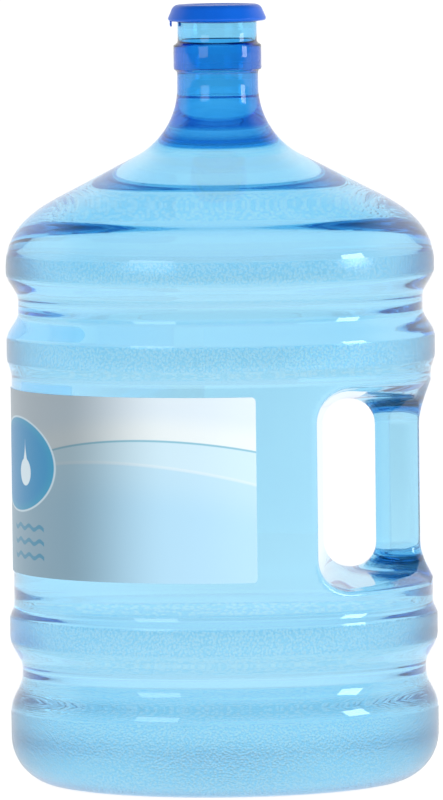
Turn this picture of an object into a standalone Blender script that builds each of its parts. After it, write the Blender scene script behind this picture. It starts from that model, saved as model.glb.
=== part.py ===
"""A refillable 18.9 litre water jug, full and capped, as separate closed solids.

Metres, +Z up.  The origin is the centre of the foot ring, on the surface that the
jug stands on.  The moulded handle is at +X and the label is on the -X side.
Run with: blender --background --python part.py, or from Blender's text editor.
"""
import math

import bmesh
import bpy

# Driving dimensions of the moulded bottle.
BODY_RADIUS = 0.1351
PANEL_RADIUS = 0.1324
GROOVE_RADIUS = 0.1277
FOOT_RADIUS = 0.1041
FOOT_WIDTH = 0.0060
BASE_CORNER = 0.0310
BASE_RISE = 0.0200
DOME_POWER = 0.7
WALL = 0.0012

# Heights where the ribs, the grooves and the label panel begin and end.
BASE_BAND_TOP = 0.0476
LOWER_GROOVE = (0.0700, 0.0736)
LOWER_RIB = (0.0936, 0.1060)
PANEL = (0.1140, 0.2576)
MIDDLE_RIB = (0.2708, 0.2815)
UPPER_GROOVE = (0.2990, 0.3060)
UPPER_RIB = (0.3240, 0.3270)

# The shoulder is a cone: an arc runs it into the neck, and a softer curve into the body.
CONE_RADIUS = 0.0998
CONE_HEIGHT = 0.3717
CONE_RISE = math.radians(27.2)
SHOULDER_BASE = 0.3276
SHOULDER_HANDLES = (0.0196, 0.0234)
NECK_ARC = 0.0490

# Neck and mouth.
NECK_RADIUS = 0.0256
COLLAR_RADIUS = 0.02775
COLLAR = (0.4500, 0.4662)
COLLAR_CHAMFER = 0.0008
THROAT_RADIUS = 0.0214
THROAT_STEP = 0.0020
UPPER_NECK_RADIUS = 0.0250
MOUTH_BORE = 0.0231
SNAP_BEAD_RADIUS = 0.0261
SNAP_BEAD = (0.4817, 0.4852)
LIP_HEIGHT = 0.4877
MOUTH_CUT = 0.0100
NECK_WALL = NECK_RADIUS - THROAT_RADIUS
THIN_WALL_BELOW = 0.3990
THICK_WALL_ABOVE = 0.4075

# Handle: a notch through the +X side, and the hollow grip across its mouth.
NOTCH_WALL_MIDDLE = 0.0640
NOTCH_WALL_OUTSIDE = 0.0590
NOTCH_EDGE_DEPTH = 0.1180
NOTCH_MIDDLE = (0.1355, 0.2410)
NOTCH_OUTSIDE = (0.1272, 0.2555)
NOTCH_CORNER_MIDDLE = 0.0160
NOTCH_CORNER_OUTSIDE = 0.0220
GRIP_INNER = 0.0965
GRIP_OUTER = 0.1246
GRIP_DEPTH = 0.0340
GRIP_FILLET = 0.0160
GRIP_OUTER_FLARE = 0.0060
GRIP_SIDE_FLARE = 0.6
GRIP_ROUNDNESS = 0.7
GRIP_ROOT = 0.0060

# Contents and label.
WATER_LEVEL = 0.4338
LABEL = (0.1360, 0.2515)
LABEL_START = math.radians(110.0)
LABEL_END = math.radians(279.2)
LABEL_THICKNESS = 0.0003

# Cap: its rim stands out above a slope that runs in to the snap lip.
CAP_TOP = 0.4912
CAP_BOTTOM = 0.4804
CAP_CORNER = 0.0050
CAP_RIM_TOP = 0.0034
CAP_RIM_BOTTOM = 0.0016
CAP_RIM_BEVEL = 0.0006
CAP_LIP = 0.0012
CAP_RIM_RADIUS = 0.03085
CAP_TOP_RADIUS = 0.0240
CAP_BORE = 0.0265
CAP_SNAP_BORE = 0.0255
CAP_ROOF = 0.0018
CAP_DISH_RADIUS = 0.0205
CAP_DISH_DEPTH = 0.0006

# The plug ring hangs from the cap's roof into the mouth.
RING_OUTER = 0.0226
RING_BORE = 0.0212
RING_BOTTOM = 0.4822

# Liner ring and pull tab.
LINER_THICKNESS = 0.0006
TAB_WIDTH = 0.0110
TAB_DROP = 0.0036
TAB_THICKNESS = 0.0014
TAB_INSET = 0.0010
TAB_ROUNDING = 0.0004

# Gap between touching pieces, and how finely round shapes are divided.
GAP = 0.0003
BODY_STEPS = 36
CAP_STEPS = 32
REACH = 0.1500


def clear_scene():
    for item in list(bpy.data.objects):
        bpy.data.objects.remove(item, do_unlink=True)


def make_collection(name):
    group = bpy.data.collections.new(name)
    bpy.context.scene.collection.children.link(group)
    return group


def make_material(name, colour, roughness, metallic=0.0, transmission=0.0, ior=1.5):
    material = bpy.data.materials.new(name)
    material.use_nodes = True
    shader = material.node_tree.nodes["Principled BSDF"]
    shader.inputs["Base Color"].default_value = (*colour, 1.0)
    shader.inputs["Roughness"].default_value = roughness
    shader.inputs["Metallic"].default_value = metallic
    shader.inputs["Transmission Weight"].default_value = transmission
    shader.inputs["IOR"].default_value = ior
    material.diffuse_color = (*colour, 1.0)
    return material


def link_object(name, mesh, group, material=None):
    item = bpy.data.objects.new(name, mesh)
    if material is not None:
        mesh.materials.append(material)
    group.objects.link(item)
    return item


def make_cutter(item):
    item.hide_render = True
    item.display_type = "WIRE"


# ---- outlines -------------------------------------------------------------

def arc(centre_r, centre_z, radius, start, end, steps):
    """Points on an arc in the radius-height plane, angles in degrees from +r."""
    points = []
    for index in range(steps + 1):
        angle = math.radians(start + (end - start) * index / steps)
        points.append((centre_r + radius * math.cos(angle), centre_z + radius * math.sin(angle)))
    return points


def swell(lower, upper, steps):
    """A cosine S-curve between two (radius, height) points, listed top to bottom."""
    points = []
    for index in range(1, steps):
        part = 1.0 - index / steps
        blend = (1.0 - math.cos(math.pi * part)) / 2.0
        radius = lower[0] + (upper[0] - lower[0]) * blend
        points.append((radius, lower[1] + (upper[1] - lower[1]) * part))
    return [upper] + points + [lower]


def cone_height(radius):
    return CONE_HEIGHT + (CONE_RADIUS - radius) * math.tan(CONE_RISE)


def shoulder_curve(steps):
    """A cubic curve from the slope of the cone down to the upright side."""
    along, up = SHOULDER_HANDLES
    handles = [
        (CONE_RADIUS, CONE_HEIGHT),
        (CONE_RADIUS + along * math.cos(CONE_RISE), CONE_HEIGHT - along * math.sin(CONE_RISE)),
        (BODY_RADIUS, SHOULDER_BASE + up),
        (BODY_RADIUS, SHOULDER_BASE),
    ]
    points = []
    for index in range(steps + 1):
        part = index / steps
        rest = 1.0 - part
        weights = (rest ** 3, 3.0 * rest ** 2 * part, 3.0 * rest * part ** 2, part ** 3)
        radius = sum(weight * handle[0] for weight, handle in zip(weights, handles))
        height = sum(weight * handle[1] for weight, handle in zip(weights, handles))
        points.append((radius, height))
    return points


def body_outline():
    """The moulded outside from the bottom of the neck down to the foot ring."""
    turn = math.pi / 2.0 - CONE_RISE
    flare_end = NECK_RADIUS + NECK_ARC * (1.0 - math.cos(turn))
    flare_top = cone_height(flare_end) + NECK_ARC * math.sin(turn)
    points = arc(NECK_RADIUS + NECK_ARC, flare_top, NECK_ARC, 180.0, 180.0 + math.degrees(turn), 8)
    points += shoulder_curve(6)
    points += swell((GROOVE_RADIUS, UPPER_GROOVE[1]), (BODY_RADIUS, UPPER_RIB[0]), 4)
    points += swell((BODY_RADIUS, MIDDLE_RIB[1]), (GROOVE_RADIUS, UPPER_GROOVE[0]), 4)
    points += swell((PANEL_RADIUS, PANEL[1]), (BODY_RADIUS, MIDDLE_RIB[0]), 3)
    points += swell((BODY_RADIUS, LOWER_RIB[1]), (PANEL_RADIUS, PANEL[0]), 2)
    points += swell((GROOVE_RADIUS, LOWER_GROOVE[1]), (BODY_RADIUS, LOWER_RIB[0]), 4)
    points += swell((BODY_RADIUS, BASE_BAND_TOP), (GROOVE_RADIUS, LOWER_GROOVE[0]), 4)
    points += arc(BODY_RADIUS - BASE_CORNER, BASE_CORNER, BASE_CORNER, 0.0, -90.0, 5)
    return points


def base_outline():
    """The underside from the inner edge of the foot ring up to the axis."""
    inner = FOOT_RADIUS - FOOT_WIDTH
    points = [(inner, 0.0)]
    for part in (0.06, 0.30, 0.65):
        radius = inner * (1.0 - part)
        height = BASE_RISE * (1.0 - (radius / inner) ** 2) ** DOME_POWER
        points.append((radius, height))
    points.append((0.0, BASE_RISE))
    return points


def neck_outline():
    """The outside of the neck from the lip down to the body."""
    edge = COLLAR_CHAMFER
    return [
        (UPPER_NECK_RADIUS, LIP_HEIGHT),
        (SNAP_BEAD_RADIUS, SNAP_BEAD[1]),
        (SNAP_BEAD_RADIUS, SNAP_BEAD[0]),
        (UPPER_NECK_RADIUS, SNAP_BEAD[0] - 2.0 * edge),
        (UPPER_NECK_RADIUS, COLLAR[1] + 2.0 * edge),
        (COLLAR_RADIUS - edge, COLLAR[1]),
        (COLLAR_RADIUS, COLLAR[1] - edge),
        (COLLAR_RADIUS, COLLAR[0] + edge),
        (NECK_RADIUS, COLLAR[0] - edge),
    ]


def wall_thickness(height):
    """Wall of the blown body, thickening into the neck."""
    part = (height - THIN_WALL_BELOW) / (THICK_WALL_ABOVE - THIN_WALL_BELOW)
    part = min(max(part, 0.0), 1.0)
    return WALL + (NECK_WALL - WALL) * (1.0 - math.cos(math.pi * part)) / 2.0


def inset(points, gap):
    """An outline moved inwards by the wall and a gap, along its own normals."""
    moved = []
    for index, (radius, height) in enumerate(points):
        before = points[max(index - 1, 0)]
        after = points[min(index + 1, len(points) - 1)]
        run_r = after[0] - before[0]
        run_z = after[1] - before[1]
        length = math.hypot(run_r, run_z)
        depth = wall_thickness(height) + gap
        new_r = radius + depth * run_z / length
        new_z = height - depth * run_r / length
        moved.append((new_r, new_z))
    return moved


def inside_outline(top, gap):
    """The space inside the bottle below a height, as a solid's outline."""
    body = inset(body_outline(), gap)
    base = base_outline()
    throat = THROAT_RADIUS - gap
    points = [(0.0, top)]
    if top > COLLAR[1]:
        points += [(MOUTH_BORE, top), (MOUTH_BORE, COLLAR[1]), (throat, COLLAR[1] - THROAT_STEP)]
    else:
        points.append((throat, top))
    points += [point for point in body if point[1] < min(top, WATER_LEVEL) - THROAT_STEP]
    points[-1] = (points[-1][0], WALL + gap)
    for radius, height in base:
        points.append((radius, height + WALL + gap))
    return points


# ---- solids ---------------------------------------------------------------

def turned(name, points, steps, group, material=None, origin=0.0, closed=False):
    """A turned solid: its outline, listed down the outer side, swept about Z."""
    mesh = bpy.data.meshes.new(name)
    verts = [(radius, 0.0, height - origin) for radius, height in points]
    edges = [(index, index + 1) for index in range(len(verts) - 1)]
    if closed:
        edges.append((len(verts) - 1, 0))
    mesh.from_pydata(verts, edges, [])
    item = link_object(name, mesh, group, material)
    item.location = (0.0, 0.0, origin)
    screw = item.modifiers.new("turn", "SCREW")
    screw.axis = "Z"
    screw.angle = math.tau
    screw.steps = steps
    screw.render_steps = steps
    screw.use_merge_vertices = True
    screw.merge_threshold = 0.00001
    screw.use_smooth_shade = True
    return item


def loft(name, sections, group, material=None):
    """A closed solid through sections that have the same number of points."""
    shape = bmesh.new()
    rings = [[shape.verts.new(point) for point in section] for section in sections]
    count = len(rings[0])
    for lower, upper in zip(rings, rings[1:]):
        for index in range(count):
            after = (index + 1) % count
            shape.faces.new((lower[index], lower[after], upper[after], upper[index]))
    shape.faces.new(list(reversed(rings[0])))
    shape.faces.new(rings[-1])
    bmesh.ops.recalc_face_normals(shape, faces=shape.faces)
    mesh = bpy.data.meshes.new(name)
    shape.to_mesh(mesh)
    shape.free()
    return link_object(name, mesh, group, material)


def add_boolean(item, other, operation):
    cut = item.modifiers.new(operation.lower(), "BOOLEAN")
    cut.operation = operation
    cut.object = other
    cut.solver = "EXACT"


def notch_section(depth, wall_x, low, high, corner, grow):
    """Outline of the handle notch at one depth, with round inner corners."""
    wall_x -= grow
    low -= grow
    high += grow
    points = [(REACH, depth, low)]
    steps = 4
    for index in range(steps + 1):
        angle = math.radians(270.0 - 90.0 * index / steps)
        x = wall_x + corner + corner * math.cos(angle)
        points.append((x, depth, low + corner + corner * math.sin(angle)))
    for index in range(steps + 1):
        angle = math.radians(180.0 - 90.0 * index / steps)
        x = wall_x + corner + corner * math.cos(angle)
        points.append((x, depth, high - corner + corner * math.sin(angle)))
    points.append((REACH, depth, high))
    return points


def make_notch(name, grow, group):
    """The space of the handle notch: it opens out to the front and the back."""
    middle = (NOTCH_WALL_MIDDLE, *NOTCH_MIDDLE, NOTCH_CORNER_MIDDLE)
    edge = (NOTCH_WALL_OUTSIDE, *NOTCH_OUTSIDE, NOTCH_CORNER_OUTSIDE)
    outside = [a + (b - a) * REACH / NOTCH_EDGE_DEPTH for a, b in zip(middle, edge)] + [grow]
    middle = [*middle, grow]
    sections = [
        notch_section(-REACH, *outside),
        notch_section(0.0, *middle),
        notch_section(REACH, *outside),
    ]
    item = loft(name, sections, group)
    make_cutter(item)
    return item


def grip_section(height, shrink):
    """Rounded section of the grip at one height, flared towards its ends."""
    low, high = NOTCH_MIDDLE
    reach = max(low + GRIP_FILLET - height, height - high + GRIP_FILLET, 0.0)
    part = min(reach / GRIP_FILLET, 1.0)
    flare = GRIP_FILLET * (1.0 - math.sqrt(1.0 - part * part))
    inner = GRIP_INNER - flare + shrink
    outer = GRIP_OUTER + GRIP_OUTER_FLARE * part ** 2 - shrink
    half_depth = GRIP_DEPTH / 2.0 + GRIP_SIDE_FLARE * flare - shrink
    middle = (inner + outer) / 2.0
    half_width = (outer - inner) / 2.0
    points = []
    count = 20
    for index in range(count):
        angle = math.tau * index / count
        x = math.copysign(abs(math.cos(angle)) ** GRIP_ROUNDNESS, math.cos(angle))
        y = math.copysign(abs(math.sin(angle)) ** GRIP_ROUNDNESS, math.sin(angle))
        points.append((middle + half_width * x, half_depth * y, height))
    return points


def make_grip(name, shrink, group):
    """The hollow upright grip, running into the body above and below the notch."""
    low, high = NOTCH_MIDDLE
    heights = [low - GRIP_ROOT, low]
    for part in (0.15, 0.40, 0.70, 1.0):
        heights.append(low + GRIP_FILLET * part)
    for part in (1.0, 0.70, 0.40, 0.15):
        heights.append(high - GRIP_FILLET * part)
    heights += [high, high + GRIP_ROOT]
    item = loft(name, [grip_section(height, shrink) for height in heights], group)
    make_cutter(item)
    return item


def make_inside(group):
    """The hollow of the bottle, up through the mouth."""
    inside = turned("inside_space", inside_outline(LIP_HEIGHT + MOUTH_CUT, 0.0), BODY_STEPS, group)
    add_boolean(inside, make_notch("inside_notch", WALL, group), "DIFFERENCE")
    add_boolean(inside, make_grip("inside_grip", WALL, group), "UNION")
    make_cutter(inside)
    return inside


def make_bottle_shell(parts, cutters):
    polycarbonate = make_material("blue_polycarbonate", (0.42, 0.74, 0.92), 0.05, 0.0, 0.9, 1.58)
    points = [(0.0, LIP_HEIGHT)] + neck_outline() + body_outline() + base_outline()
    shell = turned("bottle_shell", points, BODY_STEPS, parts, polycarbonate)
    add_boolean(shell, make_notch("notch_cutter", 0.0, cutters), "DIFFERENCE")
    add_boolean(shell, make_grip("grip_tube", 0.0, cutters), "UNION")
    add_boolean(shell, make_inside(cutters), "DIFFERENCE")
    return shell


def make_water(parts, cutters):
    clear_water = make_material("water", (0.72, 0.90, 0.98), 0.0, 0.0, 0.9, 1.33)
    water = turned("water", inside_outline(WATER_LEVEL, GAP), BODY_STEPS, parts, clear_water)
    add_boolean(water, make_notch("water_notch", WALL + GAP, cutters), "DIFFERENCE")
    add_boolean(water, make_grip("water_grip", WALL + GAP, cutters), "UNION")
    return water


def make_label(parts):
    """A film bent round the -X side of the panel, as a thin closed sheet."""
    film = make_material("label_film", (0.62, 0.76, 0.83), 0.35)
    steps = 34
    turn = (LABEL_END - LABEL_START) / steps
    inner = (PANEL_RADIUS + GAP) / math.cos(turn / 2.0)
    outer = inner + LABEL_THICKNESS
    low, high = LABEL
    corners = ((inner, low), (outer, low), (outer, high), (inner, high))
    sections = []
    for index in range(steps + 1):
        angle = LABEL_START + turn * index
        ring = [(radius * math.cos(angle), radius * math.sin(angle), height) for radius, height in corners]
        sections.append(ring)
    return loft("wrap_label", sections, parts, film)


def cap_outline():
    """Cap section: over the rim, under the snap lip, up the bore and round the plug ring."""
    roof = CAP_TOP - CAP_DISH_DEPTH - CAP_ROOF
    points = [(0.0, CAP_TOP - CAP_DISH_DEPTH), (CAP_DISH_RADIUS - CAP_DISH_DEPTH, CAP_TOP - CAP_DISH_DEPTH)]
    points.append((CAP_DISH_RADIUS, CAP_TOP))
    points += arc(CAP_TOP_RADIUS, CAP_TOP - CAP_CORNER, CAP_CORNER, 90.0, 10.0, 4)
    points += [
        (CAP_RIM_RADIUS, CAP_BOTTOM + CAP_RIM_TOP),
        (CAP_RIM_RADIUS - CAP_RIM_BEVEL, CAP_BOTTOM + CAP_RIM_BOTTOM),
        (CAP_SNAP_BORE + CAP_LIP, CAP_BOTTOM),
        (CAP_SNAP_BORE + CAP_RIM_BEVEL, CAP_BOTTOM),
        (CAP_BORE, CAP_BOTTOM + CAP_LIP),
        (CAP_BORE, roof),
        (RING_OUTER, roof),
        (RING_OUTER, RING_BOTTOM),
        (RING_BORE, RING_BOTTOM),
        (RING_BORE, roof),
        (0.0, roof),
    ]
    return points


def make_cap(parts):
    blue_plastic = make_material("cap_polyethylene", (0.0, 0.13, 0.72), 0.35)
    return turned("cap_shell", cap_outline(), CAP_STEPS, parts, blue_plastic, CAP_BOTTOM)


def make_liner(parts, cap):
    """The foam ring between the lip of the neck and the roof of the cap."""
    foam = make_material("liner_foam", (0.85, 0.86, 0.84), 0.8)
    top = CAP_TOP - CAP_DISH_DEPTH - CAP_ROOF - GAP
    low = top - LINER_THICKNESS
    outer = CAP_BORE - GAP
    inner = RING_OUTER + GAP
    points = [(inner, top), (outer, top), (outer, low), (inner, low)]
    liner = turned("cap_liner", points, CAP_STEPS, parts, foam, CAP_BOTTOM, True)
    attach(liner, cap)
    return liner


def make_pull_tab(parts, cap):
    """The lift tab that hangs from the rim at -X on a thin hinge."""
    plastic = make_material("tab_polyethylene", (0.0, 0.13, 0.72), 0.35)
    mesh = bpy.data.meshes.new("pull_tab")
    shape = bmesh.new()
    bmesh.ops.create_cube(shape, size=1.0)
    bmesh.ops.scale(shape, vec=(TAB_THICKNESS, TAB_WIDTH, TAB_DROP), verts=shape.verts)
    offset = (TAB_THICKNESS / 2.0, 0.0, -TAB_DROP / 2.0)
    bmesh.ops.translate(shape, vec=offset, verts=shape.verts)
    shape.to_mesh(mesh)
    shape.free()
    tab = link_object("pull_tab", mesh, parts, plastic)
    tab.location = (TAB_INSET - CAP_RIM_RADIUS, 0.0, CAP_BOTTOM + TAB_INSET - GAP)
    rounding = tab.modifiers.new("rounding", "BEVEL")
    rounding.width = TAB_ROUNDING
    rounding.segments = 2
    attach(tab, cap)
    return tab


def attach(child, parent):
    """Parent a piece without moving it."""
    child.parent = parent
    child.matrix_parent_inverse.identity()
    child.location = [a - b for a, b in zip(child.location, parent.location)]


def main():
    clear_scene()
    parts = make_collection("water_jug")
    cutters = make_collection("cutters")
    make_bottle_shell(parts, cutters)
    make_water(parts, cutters)
    make_label(parts)
    cap = make_cap(parts)
    make_liner(parts, cap)
    make_pull_tab(parts, cap)
    bpy.context.view_layer.update()


main()
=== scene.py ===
import math

import bmesh
import bpy
import numpy as np
from mathutils import Matrix, Vector


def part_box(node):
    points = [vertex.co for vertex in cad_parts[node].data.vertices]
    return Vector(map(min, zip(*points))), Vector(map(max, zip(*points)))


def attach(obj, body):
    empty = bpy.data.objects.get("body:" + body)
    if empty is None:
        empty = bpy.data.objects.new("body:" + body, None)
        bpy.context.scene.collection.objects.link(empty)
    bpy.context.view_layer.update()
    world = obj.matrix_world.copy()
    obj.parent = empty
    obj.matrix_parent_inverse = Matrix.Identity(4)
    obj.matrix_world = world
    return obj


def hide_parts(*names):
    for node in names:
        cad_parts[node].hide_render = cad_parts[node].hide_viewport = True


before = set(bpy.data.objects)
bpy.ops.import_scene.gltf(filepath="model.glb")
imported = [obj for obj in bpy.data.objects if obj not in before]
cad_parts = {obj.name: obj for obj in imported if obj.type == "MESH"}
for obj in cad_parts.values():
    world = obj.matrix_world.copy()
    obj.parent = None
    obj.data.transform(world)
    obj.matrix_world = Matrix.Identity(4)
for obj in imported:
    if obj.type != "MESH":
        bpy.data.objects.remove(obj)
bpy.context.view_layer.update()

# Sizes of the moulded bottle, in metres, as in the CAD model.
BODY_RADIUS = 0.1351
PANEL_RADIUS = 0.1324
GROOVE_RADIUS = 0.1277
FOOT_RADIUS = 0.1041
FOOT_WIDTH = 0.0060
BASE_CORNER = 0.0310
BASE_RISE = 0.0200
WALL = 0.0012
BASE_BAND_TOP = 0.0476
LOWER_GROOVE = (0.0700, 0.0736)
LOWER_RIB = (0.0936, 0.1060)
PANEL = (0.1140, 0.2576)
MIDDLE_RIB = (0.2708, 0.2815)
UPPER_GROOVE = (0.2990, 0.3060)
UPPER_RIB = (0.3240, 0.3270)
CONE_RADIUS = 0.0998
CONE_HEIGHT = 0.3717
CONE_RISE = math.radians(27.2)
SHOULDER_BASE = 0.3276
SHOULDER_HANDLES = (0.0196, 0.0234)
NECK_ARC = 0.0490
NECK_RADIUS = 0.0256
COLLAR_RADIUS = 0.02775
COLLAR = (0.4500, 0.4662)
THROAT_RADIUS = 0.0214
UPPER_NECK_RADIUS = 0.0250
MOUTH_BORE = 0.0231
SNAP_BEAD_RADIUS = 0.0261
SNAP_BEAD = (0.4817, 0.4852)
LIP_HEIGHT = 0.4877
NECK_BOTTOM = 0.4430
NECK_WALL = NECK_RADIUS - THROAT_RADIUS
THIN_WALL_BELOW = 0.3990
THICK_WALL_ABOVE = 0.4075
WATER_LEVEL = 0.4338

# The handle: a notch in the side and the grip across it. Pairs are at the middle and at the
# edges. The crease softens the bend at the middle, and the reach is how far past the grip's
# outside the notch keeps opening, as a share of the way out to the panel.
NOTCH_WALL = (0.0640, 0.0590)
NOTCH_LOW = (0.1355, 0.1272)
NOTCH_HIGH = (0.2410, 0.2550)
NOTCH_CORNER = (0.0160, 0.0220)
NOTCH_EDGE_DEPTH = 0.1180
NOTCH_EDGE_ROUND = 0.0025
NOTCH_CREASE = 0.0040
NOTCH_REACH = 1.3
GRIP_INNER = 0.0965
GRIP_OUTER = 0.1246
GRIP_DEPTH = 0.0340
GRIP_ROUND = 0.0125
GRIP_FILLET = 0.0160

# The cap and the label.
CAP_RIM_RADIUS = 0.03085
CAP_TOP_RADIUS = 0.0240
CAP_CORNER = 0.0050
CAP_RIM_ROUND = 0.0017
CAP_BORE = 0.0265
CAP_SNAP_BORE = 0.0255
CAP_ROOF = 0.0018
CAP_DISH_RADIUS = 0.0205
CAP_DISH_DEPTH = 0.0006
PLUG_RING = (0.0212, 0.0226)
PLUG_RING_BOTTOM = 0.4822
LABEL = (0.1360, 0.2515)
LABEL_START = math.radians(110.0)
LABEL_END = math.radians(279.2)
LABEL_GAP = 0.0002
LABEL_THICKNESS = 0.0003
TOWARDS_CAMERA = math.radians(270.0)

# The heights of the bottle's pebbled skin, and how many pebbles there are in a metre.
PEBBLED_BASE = (0.0015, BASE_BAND_TOP)
PEBBLED_RIBS = ((0.0905, 0.1075), (0.2675, 0.2830), (0.3215, 0.3355))
PEBBLES_PER_METRE = 640.0

# The print on the label. Places are (along, up), in metres, with along measured round the jug
# from the side at -Y. A curve is the place of its highest point and how sharply it bends. The
# painted shade, a grey-blue darkening that stands in for the dimmer light on the far side of the
# label, starts at its edge, a middle and a softness, and fades out again between its ends.
FIRST_CURVE = (-0.049, 0.2250, 1.47)
SECOND_CURVE = (-0.078, 0.2104, 1.38)
PAINTED_SHADE_EDGE = (-0.072, 0.040)
PAINTED_SHADE_END = (-0.330, -0.225)
PAINTED_SHADE_AMOUNT = 0.60
BADGE_CENTRE = (-0.170, 0.2055)
BADGE_RADII = (0.049, 0.0290)
DROP_CENTRE = (-0.158, 0.2010)
DROP_RADIUS = 0.0085
DROP_TIP = 0.2215
DROP_TAPER = 0.0235
DROP_SPREAD = 0.0098
BAR_HEIGHTS = (0.1485, 0.1575, 0.1665)
BAR_ENDS = (-0.180, -0.133)
BAR_HALF_HEIGHT = 0.0013
BAR_WAVE = (420.0, 0.0011)

# The camera, the lights' distance from the jug, and the colours of the white backdrop and of the
# dim room, which reflections and clear parts show bluer than it lights matt surfaces.
CAMERA_LENS = 500.3
CAMERA_PLACE = (0.0001, -7.0, 0.70)
CAMERA_DOWN = math.radians(3.748)
CAMERA_ROLL = math.radians(0.664)
LIGHT_DISTANCE = 1.6
BACKDROP = (1.03, 1.03, 1.03, 1.0)
ROOM_IN_GLOSS = (0.09, 0.40, 0.72, 1.0)
ROOM_ON_MATT = (0.26, 0.31, 0.34, 1.0)

# How finely the moulded bottle is divided, in metres and degrees: the block is the part with
# the handle, its marks are where its rows change step, and the neck has extra rings at its marks.
BLOCK = (0.1155, 0.2575)
BLOCK_MARKS = (0.1215, 0.1440, 0.2335)
BLOCK_STEPS = (0.0020, 0.0013, 0.0032, 0.0012)
BLOCK_RADII = (0.0520, 0.1385)
RADIUS_STEP = 0.0020
GRIP_SIDE = 20.0
NOTCH_SIDE = 75.0
NECK_MARKS = (0.4780, 0.4720, 0.4550, 0.4480)
FAR_STEP = 3.75
NEAR_STEP = 1.5
GRIP_STEP = 1.25


# ---- camera, floor and light ----------------------------------------------

def make_camera():
    """A long lens seven metres in front of the jug, a little above it and looking down."""
    data = bpy.data.cameras.new("camera")
    data.lens = CAMERA_LENS
    data.sensor_width = 36.0
    data.sensor_fit = "AUTO"
    data.clip_end = 100.0
    camera = bpy.data.objects.new("camera", data)
    bpy.context.scene.collection.objects.link(camera)
    tilt = Matrix.Rotation(math.pi / 2.0 - CAMERA_DOWN, 4, "X")
    roll = Matrix.Rotation(-CAMERA_ROLL, 4, "Z")
    camera.matrix_world = Matrix.Translation(CAMERA_PLACE) @ tilt @ roll
    bpy.context.scene.camera = camera


def make_floor():
    """A white floor that gives less light to the jug further in front of it."""
    mesh = bpy.data.meshes.new("floor")
    shape = bmesh.new()
    bmesh.ops.create_grid(shape, x_segments=2, y_segments=2, size=30.0)
    shape.to_mesh(mesh)
    shape.free()
    floor = bpy.data.objects.new("floor", mesh)
    bpy.context.scene.collection.objects.link(floor)
    floor.location.z = -0.0002
    graph = Graph("floor_white")
    graph.set("Base Color", (0.25, 0.25, 0.25, 1.0))
    graph.set("Specular IOR Level", 0.0)
    graph.set("Roughness", 0.9)
    graph.set("Emission Color", (1.0, 1.0, 1.0, 1.0))
    depth = graph.node("SeparateXYZ", Vector=graph.place()).outputs["Y"]
    seen = graph.node("LightPath").outputs["Is Camera Ray"]
    lit = graph.maths("MAXIMUM", graph.smooth(depth, -4.0, -0.2), seen)
    graph.feed("Emission Strength", graph.maths("MULTIPLY", lit, 0.98))
    mesh.materials.append(graph.material)


def make_world():
    """A white backdrop behind the jug, and dim room light overhead and in front of it."""
    world = bpy.data.worlds.new("studio")
    bpy.context.scene.world = world
    world.use_nodes = True
    nodes = Nodes(world.node_tree)
    view = nodes.node("SeparateXYZ", Vector=nodes.node("TexCoord").outputs["Generated"])
    path = nodes.node("LightPath")
    dim = nodes.blend(path.outputs["Is Diffuse Ray"], ROOM_IN_GLOSS, ROOM_ON_MATT)
    behind = nodes.smooth(view.outputs["Y"], -0.20, 0.35)
    overhead = nodes.smooth(view.outputs["Z"], 0.42, 0.78)
    light = nodes.blend(overhead, nodes.blend(behind, dim, BACKDROP), dim)
    shown = nodes.blend(path.outputs["Is Camera Ray"], light, (1.05, 1.05, 1.05, 1.0))
    nodes.plug(nodes.tree.nodes["Background"].inputs["Color"], shown)


def make_softbox(name, bearing, radiance, size, height, diffuse_only=False):
    """A panel light at a bearing from the camera's side of the jug, + to the right."""
    data = bpy.data.lights.new(name, "AREA")
    data.shape = "RECTANGLE"
    data.size, data.size_y = size
    data.energy = radiance * math.pi * size[0] * size[1]
    light = bpy.data.objects.new(name, data)
    bpy.context.scene.collection.objects.link(light)
    angle = math.radians(bearing)
    across = LIGHT_DISTANCE * math.sin(angle)
    light.location = Vector((across, -LIGHT_DISTANCE * math.cos(angle), height))
    light.rotation_euler = (math.pi / 2.0, 0.0, angle)
    light.visible_camera = False
    light.visible_glossy = not diffuse_only
    light.visible_transmission = not diffuse_only


# ---- materials ---------------------------------------------------------------

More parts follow.
